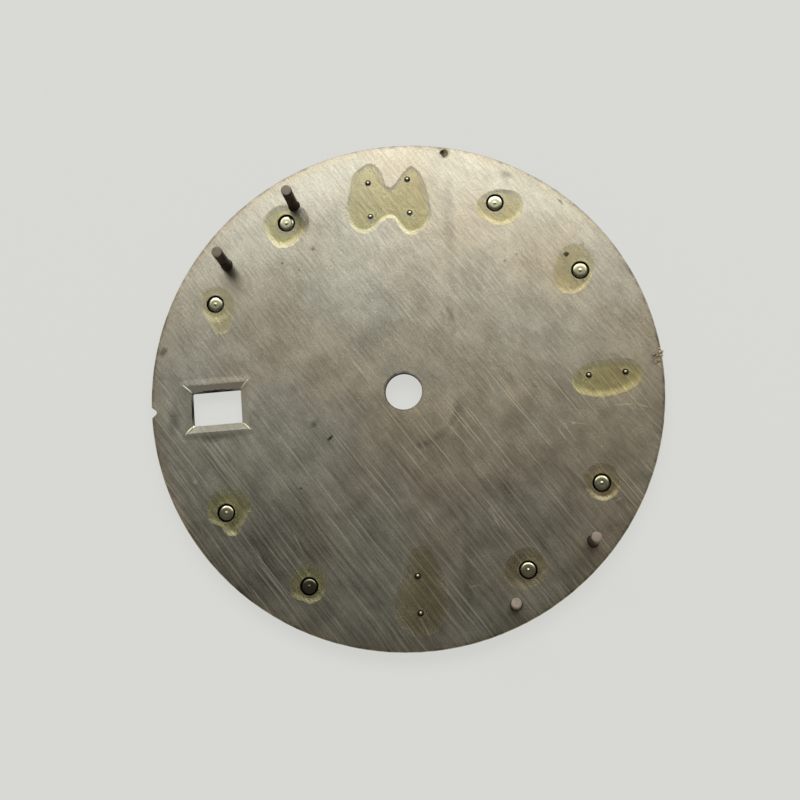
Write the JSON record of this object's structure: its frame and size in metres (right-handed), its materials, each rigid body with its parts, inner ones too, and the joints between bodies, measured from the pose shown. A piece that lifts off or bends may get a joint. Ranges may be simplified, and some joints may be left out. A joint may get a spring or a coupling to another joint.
{
  "type": "watch dial",
  "caption": "Round watch dial lying face down: thin metal plate with a date window, applied luminous hour markers held by lacquer on the back, and dial feet.",
  "frame": {"origin": "on the centre hole's axis, on the back face of the plate", "axes": "+Z out of the back, the way the dial feet stand; +Y towards 12 o'clock; +X towards 9 o'clock"},
  "size_m": [0.0285, 0.0284, 0.004],
  "materials": {
    "silvered_brass": "silver-plated brass, back brushed one way",
    "face_paint": "satin black dial paint",
    "track_ink": "pad-printed white ink",
    "marker_metal": "rhodium-plated brass, turned and polished",
    "lume": "pale green luminous paint",
    "foot_copper": "tarnished copper wire, bright cut end",
    "fixing_lacquer": "clear yellowed lacquer"
  },
  "bodies": {
    "root": {"dial_plate": "silvered_brass", "face_paint": "face_paint", "minute_track": "track_ink", "hour_marker_1": "marker_metal", "lume_1": "lume", "hour_marker_2": "marker_metal", "lume_2": "lume", "hour_marker_4": "marker_metal", "lume_4": "lume", "hour_marker_5": "marker_metal", "lume_5": "lume", "hour_marker_7": "marker_metal", "lume_7": "lume", "hour_marker_8": "marker_metal", "lume_8": "lume", "hour_marker_10": "marker_metal", "lume_10": "lume", "hour_marker_11": "marker_metal", "lume_11": "lume", "baton_12_left": "marker_metal", "lume_12_left": "lume", "baton_12_right": "marker_metal", "lume_12_right": "lume", "baton_6": "marker_metal", "lume_6": "lume", "baton_9": "marker_metal", "lume_9": "lume", "dial_foot_1": "foot_copper", "dial_foot_2": "foot_copper", "dial_foot_3": "foot_copper", "dial_foot_4": "foot_copper", "fixing_lacquer_1": "fixing_lacquer", "fixing_lacquer_2": "fixing_lacquer", "fixing_lacquer_4": "fixing_lacquer", "fixing_lacquer_5": "fixing_lacquer", "fixing_lacquer_6": "fixing_lacquer", "fixing_lacquer_7": "fixing_lacquer", "fixing_lacquer_8": "fixing_lacquer", "fixing_lacquer_9": "fixing_lacquer", "fixing_lacquer_10": "fixing_lacquer", "fixing_lacquer_11": "fixing_lacquer", "fixing_lacquer_12": "fixing_lacquer"}
  },
  "joints": []
}
